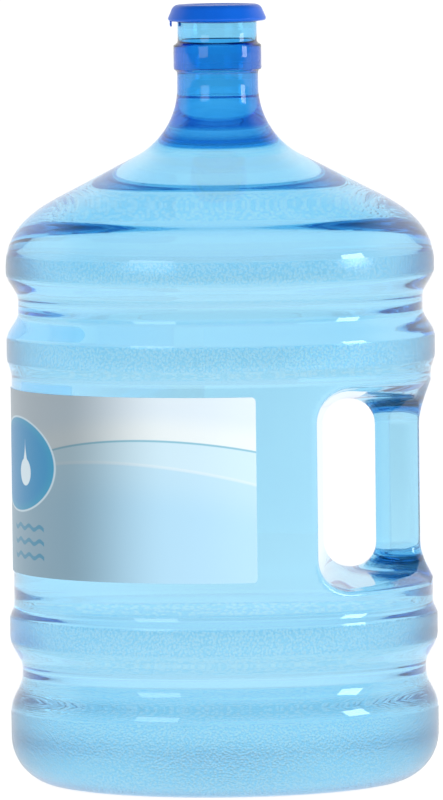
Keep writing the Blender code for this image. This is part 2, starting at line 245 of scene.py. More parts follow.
class Nodes:
    """A node tree, with short ways to add nodes to it."""

    def __init__(self, tree):
        self.tree = tree

    def node(self, kind, **inputs):
        item = self.tree.nodes.new("ShaderNode" + kind)
        for name, value in inputs.items():
            self.plug(item.inputs[name.replace("_", " ")], value)
        return item

    def plug(self, socket, value):
        if isinstance(value, bpy.types.NodeSocket):
            self.tree.links.new(value, socket)
        else:
            socket.default_value = value

    def maths(self, operation, first, second=0.0):
        item = self.tree.nodes.new("ShaderNodeMath")
        item.operation = operation
        self.plug(item.inputs[0], first)
        self.plug(item.inputs[1], second)
        return item.outputs[0]

    def smooth(self, value, low, high):
        """0 below low, 1 above high and a smooth step between."""
        item = self.tree.nodes.new("ShaderNodeMapRange")
        item.interpolation_type = "SMOOTHSTEP"
        self.plug(item.inputs["Value"], value)
        item.inputs["From Min"].default_value = low
        item.inputs["From Max"].default_value = high
        return item.outputs["Result"]

    def between(self, value, low, high):
        """A value of 0 to 1 turned into one of low to high."""
        item = self.node("MapRange", Value=value)
        item.inputs["To Min"].default_value = low
        item.inputs["To Max"].default_value = high
        return item.outputs["Result"]

    def below(self, value, limit, soft):
        """1 where value is under limit, with an edge of softness soft."""
        return self.maths("SUBTRACT", 1.0, self.smooth(value, limit - soft, limit + soft))

    def band(self, value, low, high, soft):
        """1 where value is between low and high."""
        above = self.smooth(value, low - soft, low + soft)
        return self.maths("MULTIPLY", above, self.below(value, high, soft))

    def blend(self, amount, under, over):
        item = self.tree.nodes.new("ShaderNodeMix")
        item.data_type = "RGBA"
        self.plug(item.inputs[0], amount)
        self.plug(item.inputs[6], under)
        self.plug(item.inputs[7], over)
        return item.outputs[2]

    def bump(self, height, distance, strength=1.0, under=None):
        item = self.node("Bump", Height=height, Distance=distance, Strength=strength)
        if under is not None:
            self.plug(item.inputs["Normal"], under)
        return item.outputs["Normal"]


class Graph(Nodes):
    """A node material on the Principled shader."""

    def __init__(self, name):
        self.material = bpy.data.materials.new(name)
        self.material.use_nodes = True
        super().__init__(self.material.node_tree)
        self.shader = self.tree.nodes["Principled BSDF"]
        self.output = self.tree.nodes["Material Output"]

    def set(self, name, value):
        self.shader.inputs[name].default_value = value

    def feed(self, name, socket):
        self.tree.links.new(socket, self.shader.inputs[name])

    def place(self):
        return self.tree.nodes.new("ShaderNodeTexCoord").outputs["Object"]


def colour(red, green, blue):
    """A colour given as 0 to 255 on a screen, as the shader's linear values."""
    def linear(value):
        value /= 255.0
        return value / 12.92 if value <= 0.04045 else ((value + 0.055) / 1.055) ** 2.4
    return (linear(red), linear(green), linear(blue), 1.0)


def bottle_material():
    """Clear blue polycarbonate, glossy, with a pebbled skin on the ribs and the base, its pebbles bumped and
    tinted bluer as painted shade.
    """
    graph = Graph("clear_blue_polycarbonate")
    graph.set("Transmission Weight", 1.0)
    graph.set("IOR", 1.58)
    place = graph.place()
    height = graph.node("SeparateXYZ", Vector=place).outputs["Z"]
    soft = 0.0004
    mask = graph.band(height, *PEBBLED_BASE, soft)
    for low, high in PEBBLED_RIBS:
        mask = graph.maths("ADD", mask, graph.band(height, low, high, soft))
    outside = graph.node("Attribute")
    outside.attribute_name = "outside"
    mask = graph.maths("MULTIPLY", mask, outside.outputs["Fac"])
    pebble = graph.node("TexVoronoi", Vector=place, Scale=PEBBLES_PER_METRE)
    grain = graph.smooth(pebble.outputs["Distance"], 0.25, 0.70)
    pebbles_and_painted_shade = graph.maths("MULTIPLY", grain, mask)
    wave = graph.node("TexNoise", Vector=place, Scale=22.0, Detail=0.0)
    ripple = graph.bump(wave.outputs["Fac"], 0.0005, 0.30)
    # Painted shade: each pebble tinted bluer in the base colour, standing in for its shading; the bump below
    # is the real pebbling.
    graph.feed("Base Color", graph.blend(pebbles_and_painted_shade, (1.0, 1.0, 1.0, 1.0), (0.60, 0.88, 0.98, 1.0)))
    graph.feed("Normal", graph.bump(pebbles_and_painted_shade, 0.00006, 0.7, ripple))
    graph.feed("Roughness", graph.maths("MULTIPLY", mask, 0.22))
    absorb = graph.node("VolumeAbsorption")
    absorb.inputs["Color"].default_value = (0.048, 0.700, 0.926, 1.0)
    absorb.inputs["Density"].default_value = 420.0
    graph.tree.links.new(absorb.outputs[0], graph.output.inputs["Volume"])
    return graph.material


def water_material():
    """Clean drinking water."""
    graph = Graph("water")
    graph.set("Base Color", (1.0, 1.0, 1.0, 1.0))
    graph.set("Transmission Weight", 1.0)
    graph.set("Roughness", 0.0)
    graph.set("IOR", 1.333)
    ripple = graph.node("TexNoise", Vector=graph.place(), Scale=14.0, Detail=0.0)
    graph.feed("Normal", graph.bump(ripple.outputs["Fac"], 0.0004, 0.2))
    return graph.material


def above_curve(graph, along, up, curve):
    """Height above one of the label's curves, negative below it."""
    middle, height, bend = curve
    offset = graph.maths("SUBTRACT", along, middle)
    sag = graph.maths("MULTIPLY", graph.maths("MULTIPLY", offset, offset), bend)
    return graph.maths("SUBTRACT", up, graph.maths("SUBTRACT", height, sag))


def from_ellipse(graph, along, up, centre, radii):
    """Distance from an ellipse's centre, 1 on the ellipse."""
    across = graph.maths("DIVIDE", graph.maths("SUBTRACT", along, centre[0]), radii[0])
    upright = graph.maths("DIVIDE", graph.maths("SUBTRACT", up, centre[1]), radii[1])
    square = graph.maths("MULTIPLY", across, across)
    return graph.maths("SQRT", graph.maths("ADD", square, graph.maths("MULTIPLY", upright, upright)))


def print_curves(graph, along, up):
    """Pale blue under the curves and near white above them, with painted shade further round, a grey-blue
    darkening where less light falls.
    """
    first = above_curve(graph, along, up, FIRST_CURVE)
    second = above_curve(graph, along, up, SECOND_CURVE)
    ink = graph.blend(graph.smooth(second, -0.0006, 0.0006), colour(186, 228, 250), colour(214, 240, 251))
    fade = graph.maths("MULTIPLY", graph.smooth(second, -0.030, -0.001), graph.below(second, 0.0, 0.0006))
    ink = graph.blend(fade, ink, colour(198, 233, 250))
    ink = graph.blend(graph.smooth(first, -0.0005, 0.0005), ink, colour(232, 243, 250))
    glow = graph.maths("MULTIPLY", graph.smooth(first, 0.0, 0.0005), graph.below(first, 0.012, 0.008))
    ink = graph.blend(glow, ink, colour(244, 250, 250))
    hairline = graph.band(first, -0.0010, 0.0002, 0.0004)
    ink = graph.blend(graph.maths("MULTIPLY", hairline, 0.75), ink, colour(110, 186, 208))
    second_line = graph.band(second, -0.0008, 0.0010, 0.0006)
    ink = graph.blend(graph.maths("MULTIPLY", second_line, 0.6), ink, colour(235, 247, 252))
    # Painted shade: grey-blue darkening towards the far side of the label, standing in for the dimmer light
    # there.
    painted_shade = graph.maths("MULTIPLY", graph.below(along, *PAINTED_SHADE_EDGE), PAINTED_SHADE_AMOUNT)
    painted_shade = graph.maths("MULTIPLY", painted_shade, graph.smooth(along, *PAINTED_SHADE_END))
    return graph.blend(painted_shade, ink, colour(70, 92, 104))


def print_badge(graph, ink, along, up):
    """A blue ellipse with a pale rim and a pale drop of water on it."""
    badge = from_ellipse(graph, along, up, BADGE_CENTRE, BADGE_RADII)
    ink = graph.blend(graph.below(badge, 1.04, 0.012), ink, colour(196, 216, 226))
    ink = graph.blend(graph.below(badge, 1.0, 0.012), ink, colour(20, 150, 190))
    ink = graph.blend(graph.below(badge, 0.9, 0.12), ink, colour(0, 138, 190))
    bulb = from_ellipse(graph, along, up, DROP_CENTRE, (DROP_RADIUS, DROP_RADIUS))
    taper = graph.maths("DIVIDE", graph.maths("SUBTRACT", DROP_TIP, up), DROP_TAPER)
    reach = graph.maths("MULTIPLY", graph.maths("MULTIPLY", taper, taper), DROP_SPREAD)
    sideways = graph.maths("ABSOLUTE", graph.maths("SUBTRACT", along, DROP_CENTRE[0]))
    spout = graph.below(graph.maths("SUBTRACT", sideways, reach), 0.0, 0.0004)
    spout_band = graph.band(up, DROP_CENTRE[1] + 0.0020, DROP_TIP, 0.0002)
    spout = graph.maths("MULTIPLY", spout, spout_band)
    drop = graph.maths("MAXIMUM", graph.below(bulb, 1.0, 0.05), spout)
    return graph.blend(drop, ink, colour(222, 238, 245))


def print_bars(graph, ink, along, up):
    """Three wavy bars one above another."""
    waves, swing = BAR_WAVE
    sway = graph.maths("MULTIPLY", graph.maths("SINE", graph.maths("MULTIPLY", along, waves)), swing)
    wavy = graph.maths("ADD", up, sway)
    for height in BAR_HEIGHTS:
        bar = graph.band(wavy, height - BAR_HALF_HEIGHT, height + BAR_HALF_HEIGHT, 0.0003)
        bar = graph.maths("MULTIPLY", bar, graph.band(along, *BAR_ENDS, 0.0005))
        ink = graph.blend(bar, ink, colour(60, 140, 172))
    return ink


def label_material():
    """Satin film printed with two sweeping curves, a round badge with a drop, and wavy bars."""
    graph = Graph("printed_film")
    plan = graph.node("UVMap")
    plan.uv_map = "plan"
    split = graph.node("SeparateXYZ", Vector=plan.outputs["UV"])
    along = split.outputs["X"]
    up = split.outputs["Y"]
    ink = print_curves(graph, along, up)
    ink = print_badge(graph, ink, along, up)
    graph.feed("Base Color", print_bars(graph, ink, along, up))
    grain = graph.node("TexNoise", Vector=graph.place(), Scale=900.0, Detail=2.0)
    graph.feed("Normal", graph.bump(grain.outputs["Fac"], 0.00003, 0.5))
    graph.feed("Roughness", graph.between(grain.outputs["Fac"], 0.30, 0.42))
    return graph.material


def film_back_material():
    """The unprinted inner side of the film, with a painted glow standing in for daylight coming through it.
    """
    graph = Graph("film_back")
    grain = graph.node("TexNoise", Vector=graph.place(), Scale=300.0, Detail=2.0)
    graph.feed("Base Color", graph.blend(grain.outputs["Fac"], colour(214, 230, 240), colour(226, 240, 248)))
    graph.set("Roughness", 0.5)
    # Painted glow: pale blue emission in place of the daylight that would shine through the film.
    graph.set("Emission Color", (0.76, 0.91, 0.97, 1.0))
    graph.set("Emission Strength", 0.95)
    return graph.material


def cap_material():
    """Satin blue polyethylene with a fine moulded grain."""
    graph = Graph("cap_polyethylene")
    place = graph.place()
    cloud = graph.node("TexNoise", Vector=place, Scale=90.0, Detail=3.0)
    graph.feed("Base Color", graph.blend(cloud.outputs["Fac"], colour(0, 98, 222), colour(0, 112, 236)))
    grain = graph.node("TexNoise", Vector=place, Scale=2400.0, Detail=2.0)
    graph.feed("Roughness", graph.between(cloud.outputs["Fac"], 0.26, 0.40))
    graph.feed("Normal", graph.bump(grain.outputs["Fac"], 0.00004, 0.6))
    graph.set("Specular IOR Level", 0.35)
    return graph.material


def foam_material():
    """Closed-cell foam of the ring inside the cap."""
    graph = Graph("liner_foam")
    place = graph.place()
    cells = graph.node("TexVoronoi", Vector=place, Scale=3200.0)
    shade = graph.blend(cells.outputs["Distance"], colour(226, 228, 224), colour(240, 241, 238))
    graph.feed("Base Color", shade)
    graph.set("Roughness", 0.8)
    graph.feed("Normal", graph.bump(cells.outputs["Distance"], 0.00006, 0.6))
    return graph.material


# ---- outlines --------------------------------------------------------------

def arc(centre_r, centre_z, radius, start, end, steps):
    angles = np.radians(np.linspace(start, end, steps + 1))
    return [(centre_r + radius * math.cos(a), centre_z + radius * math.sin(a)) for a in angles]


def swell(lower, upper, steps):
    """A cosine S-curve between two (radius, height) points, listed top to bottom."""
    points = []
    for index in range(steps + 1):
        part = 1.0 - index / steps
        blend = (1.0 - math.cos(math.pi * part)) / 2.0
        radius = lower[0] + (upper[0] - lower[0]) * blend
        points.append((radius, lower[1] + (upper[1] - lower[1]) * part))
    return points


def straight(start, end, steps):
    """Points after start and before end on a straight line."""
    return [
        (start[0] + (end[0] - start[0]) * i / steps, start[1] + (end[1] - start[1]) * i / steps)
        for i in range(1, steps)
    ]


def cone_height(radius):
    """Height of the shoulder's straight slope at a radius."""
    return CONE_HEIGHT + (CONE_RADIUS - radius) * math.tan(CONE_RISE)


def shoulder_curve(steps):
    """A cubic curve from the slope of the cone down to the upright side."""
    along, up = SHOULDER_HANDLES
    handles = np.array([
        (CONE_RADIUS, CONE_HEIGHT),
        (CONE_RADIUS + along * math.cos(CONE_RISE), CONE_HEIGHT - along * math.sin(CONE_RISE)),
        (BODY_RADIUS, SHOULDER_BASE + up),
        (BODY_RADIUS, SHOULDER_BASE),
    ])
    part = np.linspace(0.0, 1.0, steps + 1)
    rest = 1.0 - part
    weights = np.stack((rest ** 3, 3.0 * rest ** 2 * part, 3.0 * rest * part ** 2, part ** 3), axis=1)
    return [tuple(point) for point in weights @ handles]


def shoulder_outline():
    """From the bottom of the neck down over the shoulder and upper ribs to the block."""
    turn = math.pi / 2.0 - CONE_RISE
    flare_end = NECK_RADIUS + NECK_ARC * (1.0 - math.cos(turn))
    flare_top = cone_height(flare_end) + NECK_ARC * math.sin(turn)
    points = arc(NECK_RADIUS + NECK_ARC, flare_top, NECK_ARC, 180.0, 180.0 + math.degrees(turn), 36)
    shoulder = shoulder_curve(18)
    points += straight(points[-1], shoulder[0], 8) + shoulder
    points += swell((GROOVE_RADIUS, UPPER_GROOVE[1]), (BODY_RADIUS, UPPER_RIB[0]), 10)
    points += straight(points[-1], (GROOVE_RADIUS, UPPER_GROOVE[0]), 2)
    points += swell((BODY_RADIUS, MIDDLE_RIB[1]), (GROOVE_RADIUS, UPPER_GROOVE[0]), 10)
    points += straight(points[-1], (BODY_RADIUS, MIDDLE_RIB[0]), 3)
    points += swell((PANEL_RADIUS, PANEL[1]), (BODY_RADIUS, MIDDLE_RIB[0]), 7)
    return points


def foot_outline():
    """From the block down over the lower rib and the base to the middle underneath."""
    points = swell((BODY_RADIUS, LOWER_RIB[1]), (PANEL_RADIUS, PANEL[0]), 5)
    points += straight(points[-1], (BODY_RADIUS, LOWER_RIB[0]), 3)
    points += swell((GROOVE_RADIUS, LOWER_GROOVE[1]), (BODY_RADIUS, LOWER_RIB[0]), 10)
    points += straight(points[-1], (GROOVE_RADIUS, LOWER_GROOVE[0]), 2)
    points += swell((BODY_RADIUS, BASE_BAND_TOP), (GROOVE_RADIUS, LOWER_GROOVE[0]), 10)
    points += straight(points[-1], (BODY_RADIUS, BASE_CORNER), 4)
    points += arc(BODY_RADIUS - BASE_CORNER, BASE_CORNER, BASE_CORNER, 0.0, -90.0, 16)
    inner = FOOT_RADIUS - FOOT_WIDTH
    points.append((inner, 0.0))
    for part in (0.02, 0.06, 0.12, 0.20, 0.30, 0.42, 0.56, 0.70, 0.85):
        radius = inner * (1.0 - part)
        points.append((radius, BASE_RISE * (1.0 - (radius / inner) ** 2) ** 0.7))
    points.append((0.0, BASE_RISE))
    return points


def neck_outline():
    """The outside of the neck from the lip down to the flare."""
    edge = 0.0008
    return [
        (MOUTH_BORE + 0.0004, LIP_HEIGHT),
        (UPPER_NECK_RADIUS - 0.0004, LIP_HEIGHT),
        (UPPER_NECK_RADIUS, LIP_HEIGHT - 0.0004),
        (SNAP_BEAD_RADIUS, SNAP_BEAD[1]),
        (SNAP_BEAD_RADIUS, SNAP_BEAD[0]),
        (UPPER_NECK_RADIUS + 0.0003, SNAP_BEAD[0] - 1.2 * edge),
        (UPPER_NECK_RADIUS, SNAP_BEAD[0] - 2.2 * edge),
        (UPPER_NECK_RADIUS, NECK_MARKS[1]),
        (UPPER_NECK_RADIUS, COLLAR[1] + 2.6 * edge),
        (UPPER_NECK_RADIUS + 0.0004, COLLAR[1] + 1.4 * edge),
        (COLLAR_RADIUS - 1.2 * edge, COLLAR[1]),
        (COLLAR_RADIUS - 0.3 * edge, COLLAR[1] - 0.4 * edge),
        (COLLAR_RADIUS, COLLAR[1] - 1.2 * edge),
        (COLLAR_RADIUS, (COLLAR[0] + COLLAR[1]) / 2.0),
        (COLLAR_RADIUS, COLLAR[0] + 1.2 * edge),
        (COLLAR_RADIUS - 0.3 * edge, COLLAR[0] + 0.4 * edge),
        (COLLAR_RADIUS - 1.2 * edge, COLLAR[0]),
        (NECK_RADIUS + 0.0003, COLLAR[0] - 1.2 * edge),
        (NECK_RADIUS, COLLAR[0] - 2.6 * edge),
        (NECK_RADIUS, NECK_BOTTOM),
    ]


def bore_outline():
    """The inside of the neck from the lip down to the flare."""
    step = 0.0010
    return [
        (MOUTH_BORE, LIP_HEIGHT - 0.0004),
        (MOUTH_BORE, NECK_MARKS[0]),
        (MOUTH_BORE, COLLAR[1] + 2.0 * step),
        (MOUTH_BORE - 0.4 * step, COLLAR[1] + step),
        (THROAT_RADIUS + 0.4 * step, COLLAR[1] - step),
        (THROAT_RADIUS, COLLAR[1] - 2.0 * step),
        (THROAT_RADIUS, NECK_MARKS[2]),
        (THROAT_RADIUS, NECK_MARKS[3]),
        (THROAT_RADIUS, NECK_BOTTOM),
    ]


def wall_thickness(height):
    """Wall of the blown body, thickening into the neck."""
    part = (np.asarray(height) - THIN_WALL_BELOW) / (THICK_WALL_ABOVE - THIN_WALL_BELOW)
    part = np.clip(part, 0.0, 1.0)
    return WALL + (NECK_WALL - WALL) * (1.0 - np.cos(math.pi * part)) / 2.0


# ---- the handle block as a distance field ------------------------------------

def round_union(a, b, radius):
    """Two distances joined, with a fillet of the radius where they meet."""
    u = np.maximum(radius - a, 0.0)
    v = np.maximum(radius - b, 0.0)
    return np.maximum(radius, np.minimum(a, b)) - np.hypot(u, v)


def round_overlap(a, b, radius):
    """What two distances share, with its edge rounded by the radius."""
    return -round_union(-a, -b, radius)


def handle_field(x, y, z):
    """Distance to the outside of the label panel with its notch and grip, below 0 inside."""
    rho = np.hypot(x, y)
    body = rho - PANEL_RADIUS
    across = np.sqrt(y * y + NOTCH_CREASE ** 2) / NOTCH_EDGE_DEPTH
    rim = np.clip((rho - GRIP_OUTER) / (PANEL_RADIUS - GRIP_OUTER), 0.0, NOTCH_REACH)
    spread = across + rim - across * np.clip(rim, 0.0, 1.0)
    spread = np.maximum(across, spread)
    wall = NOTCH_WALL[0] + (NOTCH_WALL[1] - NOTCH_WALL[0]) * across
    low = NOTCH_LOW[0] + (NOTCH_LOW[1] - NOTCH_LOW[0]) * spread
    high = NOTCH_HIGH[0] + (NOTCH_HIGH[1] - NOTCH_HIGH[0]) * spread
    corner = NOTCH_CORNER[0] + (NOTCH_CORNER[1] - NOTCH_CORNER[0]) * across
    from_wall = wall + corner - x
    from_middle = np.abs(z - (low + high) / 2.0) - ((high - low) / 2.0 - corner)
    notch = np.hypot(np.maximum(from_wall, 0.0), np.maximum(from_middle, 0.0))
    notch = notch + np.minimum(np.maximum(from_wall, from_middle), 0.0) - corner
    cut = round_overlap(body, -notch, NOTCH_EDGE_ROUND)
    along = np.abs(x - (GRIP_INNER + GRIP_OUTER) / 2.0) - ((GRIP_OUTER - GRIP_INNER) / 2.0 - GRIP_ROUND)
    deep = np.abs(y) - (GRIP_DEPTH / 2.0 - GRIP_ROUND)
    grip = np.hypot(np.maximum(along, 0.0), np.maximum(deep, 0.0))
    grip = grip + np.minimum(np.maximum(along, deep), 0.0) - GRIP_ROUND
    whole = round_union(cut, grip, GRIP_FILLET)
    return np.maximum(whole, body)


def gradient(field, points):
    """The field's slope at each point."""
    step = 2e-5
    grad = np.empty_like(points)
    for axis in range(3):
        ahead = points.copy()
        behind = points.copy()
        ahead[:, axis] += step
        behind[:, axis] -= step
        grad[:, axis] = (field(*ahead.T) - field(*behind.T)) / (2.0 * step)
    return grad


def column_angles():
    """Angles of the mesh columns' edges, closest together round the grip."""
    def run(start, end, step):
        return list(np.linspace(start, end, int(round((end - start) / step)), endpoint=False))
    angles = run(-GRIP_SIDE, GRIP_SIDE, GRIP_STEP) + run(GRIP_SIDE, NOTCH_SIDE, NEAR_STEP)
    angles += run(NOTCH_SIDE, 360.0 - NOTCH_SIDE, FAR_STEP)
    angles += run(360.0 - NOTCH_SIDE, 360.0 - GRIP_SIDE, NEAR_STEP)
    return np.radians(np.array(angles))


def block_heights():
    """Levels of the mesh rows through the block, closest together at the notch's ends."""
    low, high = BLOCK
    marks = (low,) + BLOCK_MARKS + (high,)
    heights = []
    for start, end, step in zip(marks, marks[1:], BLOCK_STEPS):
        heights += list(np.linspace(start, end, int(round((end - start) / step)), endpoint=False))
    return np.array(heights + [high])


def surface_net(radii, angles, heights, field):
    """A mesh of quads round the field's zero surface, on a grid of radius, angle and height."""
    turns = np.append(angles, angles[0] + math.tau)
    grid_r, grid_t, grid_z = np.meshgrid(radii, turns, heights, indexing="ij")
    values = field(grid_r * np.cos(grid_t), grid_r * np.sin(grid_t), grid_z)
    shape = (len(radii) - 1, len(angles), len(heights) - 1)
    total = np.zeros(shape + (3,))
    count = np.zeros(shape)
    grids = (grid_r, grid_t, grid_z)
    for axis in range(3):
        others = [k for k in range(3) if k != axis]
        for first in (0, 1):
            for second in (0, 1):
                offset = [0, 0, 0]
                offset[others[0]] = first
                offset[others[1]] = second
                ahead = list(offset)
                ahead[axis] = 1
                near = tuple(slice(o, o + n) for o, n in zip(offset, shape))
                far = tuple(slice(o, o + n) for o, n in zip(ahead, shape))
                start, end = values[near], values[far]
                crossing = (start < 0.0) != (end < 0.0)
                gap = np.where(crossing, start - end, 1.0)
                part = np.where(crossing, start / gap, 0.0)
                count += crossing
                for k in range(3):
                    place = grids[k][near] + part * (grids[k][far] - grids[k][near])
                    total[..., k] += np.where(crossing, place, 0.0)
    active = count > 0
    index = np.full(shape, -1)
    index[active] = np.arange(active.sum())
    mean = total[active] / count[active][:, None]
    points = np.column_stack((mean[:, 0] * np.cos(mean[:, 1]), mean[:, 0] * np.sin(mean[:, 1]), mean[:, 2]))
    inside = values[:, :-1, :] < 0.0
    quads = []
    before = np.roll(index, 1, axis=1)

    def add(start, end, cells):
        changed = start != end
        loops = np.stack([cell[changed] for cell in cells], axis=1)
        flip = ~start[changed]
        loops[flip] = loops[flip][:, ::-1]
        quads.append(loops)

    add(inside[:-1, :, 1:-1], inside[1:, :, 1:-1],
        (before[:, :, :-1], index[:, :, :-1], index[:, :, 1:], before[:, :, 1:]))
    around = np.roll(inside, -1, axis=1)
    add(inside[1:-1, :, 1:-1], around[1:-1, :, 1:-1],
        (index[:-1, :, :-1], index[:-1, :, 1:], index[1:, :, 1:], index[1:, :, :-1]))
    add(inside[1:-1, :, :-1], inside[1:-1, :, 1:],
        (before[:-1], before[1:], index[1:], index[:-1]))
    quads = np.concatenate(quads)
    bottom = index[:, :, 0].max(axis=0)
    top = index[:, :, -1].max(axis=0)
    return points, quads, bottom, top


def settle(points, field, limit):
    """Points moved on to the field's zero surface."""
    start = points.copy()
    for _ in range(6):
        value = field(*points.T)
        grad = gradient(field, points)
        length = np.maximum((grad * grad).sum(axis=1), 0.05)
        points = points - grad * (value / length)[:, None]
        move = points - start
        size = np.maximum(np.linalg.norm(move, axis=1), 1e-12)
        points = start + move * np.minimum(1.0, limit / size)[:, None]
    return points


class Sheet:
    """Points, their normals and faces, gathered piece by piece."""

    def __init__(self):
        self.points = []
        self.normals = []
        self.faces = []
        self.count = 0

    def add_points(self, points, normals):
        first = self.count
        self.points.append(np.asarray(points, dtype=float))
        self.normals.append(np.asarray(normals, dtype=float))
        self.count += len(points)
        return np.arange(first, first + len(points))

    def add_rows(self, outline, columns, closed_end=False):
        """Rings of points for an outline listed top to bottom; returns the rings' indices."""
        places = np.array(outline)
        ahead = np.vstack((places[1:], places[-1:]))
        behind = np.vstack((places[:1], places[:-1]))
        run = ahead - behind
        run /= np.maximum(np.linalg.norm(run, axis=1), 1e-12)[:, None]
        rings = []
        for (radius, height), (run_r, run_z) in zip(places, run):
            if radius < 1e-9:
                rings.append(self.add_points([(0.0, 0.0, height)], [(0.0, 0.0, run_r)]))
                continue
            side = np.column_stack((np.cos(columns), np.sin(columns), np.zeros(len(columns))))
            ring = side * radius
            ring[:, 2] = height
            normals = side * -run_z
            normals[:, 2] = run_r
            rings.append(self.add_points(ring, normals))
        for upper, lower in zip(rings, rings[1:]):
            self.join(upper, lower)
        return rings

    def join(self, upper, lower):
        """Faces between two rings, facing outwards where upper is the higher one."""
        if len(lower) == 1:
            after = np.roll(upper, -1)
            self.faces += [(int(lower[0]), int(b), int(a)) for a, b in zip(upper, after)]
            return
        if len(upper) == 1:
            after = np.roll(lower, -1)
            self.faces += [(int(upper[0]), int(a), int(b)) for a, b in zip(lower, after)]
            return
        rows = np.stack((lower, np.roll(lower, -1), np.roll(upper, -1), upper), axis=1)
        self.faces += [tuple(int(v) for v in row) for row in rows]


# ---- the bottle's surfaces ----------------------------------------------------

class Bottle:
    """The outer surface of the moulded body, and copies of it moved inwards."""

    def __init__(self):
        angles = column_angles()
        turns = np.append(angles, angles[0] + math.tau)
        self.columns = (turns[:-1] + turns[1:]) / 2.0
        radii = np.arange(*BLOCK_RADII, RADIUS_STEP)
        heights = block_heights()
        points, quads, bottom, top = surface_net(radii, angles, heights, handle_field)
        points = settle(points, handle_field, 0.0016)
        normals = gradient(handle_field, points)
        normals /= np.linalg.norm(normals, axis=1)[:, None]
        sheet = Sheet()
        self.heights = [height for _, height in shoulder_outline()]
        upper = sheet.add_rows(shoulder_outline(), self.columns)
        block = sheet.add_points(points, normals)
        sheet.faces += [tuple(int(v) for v in quad) for quad in quads + block[0]]
        lower = sheet.add_rows(foot_outline(), self.columns)
        sheet.join(upper[-1], block[top])
        sheet.join(block[bottom], lower[0])
        self.points = np.concatenate(sheet.points)
        self.normals = np.concatenate(sheet.normals)
        self.normals /= np.linalg.norm(self.normals, axis=1)[:, None]
        self.faces = sheet.faces
        self.top_ring = upper[0]

    def moved_in(self, sheet, less_wall, flip, below=1.0):
        """Adds the body's surface below a height, moved in by the wall less an amount.

        Returns its top ring.
        """
        above = sum(height > below for height in self.heights) * len(self.columns)
        depth = wall_thickness(self.points[above:, 2]) - less_wall
        points = self.points[above:] - self.normals[above:] * depth[:, None]
        normals = -self.normals[above:] if flip else self.normals[above:]
        first = int(sheet.add_points(points, normals)[0]) - above
        for face in self.faces:
            if min(face) >= above:
                moved = tuple(v + first for v in face)
                sheet.faces.append(moved[::-1] if flip else moved)
        return self.top_ring + first + above

    def outside(self, sheet):
        first = sheet.add_points(self.points, self.normals)[0]
        sheet.faces += [tuple(v + int(first) for v in face) for face in self.faces]
        return self.top_ring + first


def sheet_mesh(name, sheet, outside_count=0):
    """A smooth mesh of a sheet; its first points, up to a count, are marked as outside."""
    mesh = bpy.data.meshes.new(name)
    points = np.concatenate(sheet.points)
    normals = np.concatenate(sheet.normals)
    normals /= np.maximum(np.linalg.norm(normals, axis=1), 1e-12)[:, None]
    mesh.from_pydata(points.tolist(), [], sheet.faces)
    mesh.update()
    mesh.polygons.foreach_set("use_smooth", [True] * len(mesh.polygons))
    mesh.normals_split_custom_set_from_vertices([tuple(n) for n in normals])
    if outside_count:
        mask = mesh.attributes.new("outside", "FLOAT", "POINT")
        flags = np.zeros(len(points), dtype=np.float32)
        flags[:outside_count] = 1.0
        mask.data.foreach_set("value", flags)
    return mesh


def place(name, mesh, material, body):
    item = bpy.data.objects.new(name, mesh)
    bpy.context.scene.collection.objects.link(item)
    mesh.materials.append(material)
    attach(item, body)
    return item


def make_shell(bottle, material):
    """The bottle's outside, neck and inside as one closed surface."""
    sheet = Sheet()
    ring = bottle.outside(sheet)
    neck = sheet.add_rows(neck_outline(), bottle.columns)
    sheet.join(neck[-1], ring)
    outside_count = sheet.count
    inner_ring = bottle.moved_in(sheet, 0.0, True)
    inner = Sheet()
    bore = inner.add_rows(bore_outline(), bottle.columns)
    first = sheet.add_points(np.concatenate(inner.points), -np.concatenate(inner.normals))[0]
    sheet.faces += [tuple(v + int(first) for v in face)[::-1] for face in inner.faces]
    lowest = bore[-1] + first
    highest = bore[0] + first
    flip_join(sheet, lowest, inner_ring)
    sheet.join(highest, neck[0])
    mesh = sheet_mesh("jug_bottle", sheet, outside_count)
    shell = place("jug_bottle", mesh, material, "jug")
    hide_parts("bottle_shell")


def flip_join(sheet, upper, lower):
    """Faces between two rings, facing inwards."""
    before = len(sheet.faces)
    sheet.join(upper, lower)
    sheet.faces[before:] = [face[::-1] for face in sheet.faces[before:]]


def make_water(bottle, material):
    """Water up to the neck; its sides lie a little inside the wall so no air film shows."""
    overlap = 0.0005
    sheet = Sheet()
    ring = bottle.moved_in(sheet, overlap, False, WATER_LEVEL - 0.0008)
    outer = THROAT_RADIUS + overlap
    climb = 0.0001
    rows = [
        (0.0, WATER_LEVEL),
        (0.5 * outer, WATER_LEVEL),
        (0.85 * outer, WATER_LEVEL),
        (0.93 * outer, WATER_LEVEL + 0.12 * climb),
        (0.97 * outer, WATER_LEVEL + 0.45 * climb),
        (outer, WATER_LEVEL + climb),
    ]
    surface = sheet.add_rows(rows, bottle.columns)
    sheet.join(surface[-1], ring)
    mesh = sheet_mesh("jug_water", sheet)
    water = place("jug_water", mesh, material, "jug")
    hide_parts("water")


# ---- the label ------------------------------------------------------------------

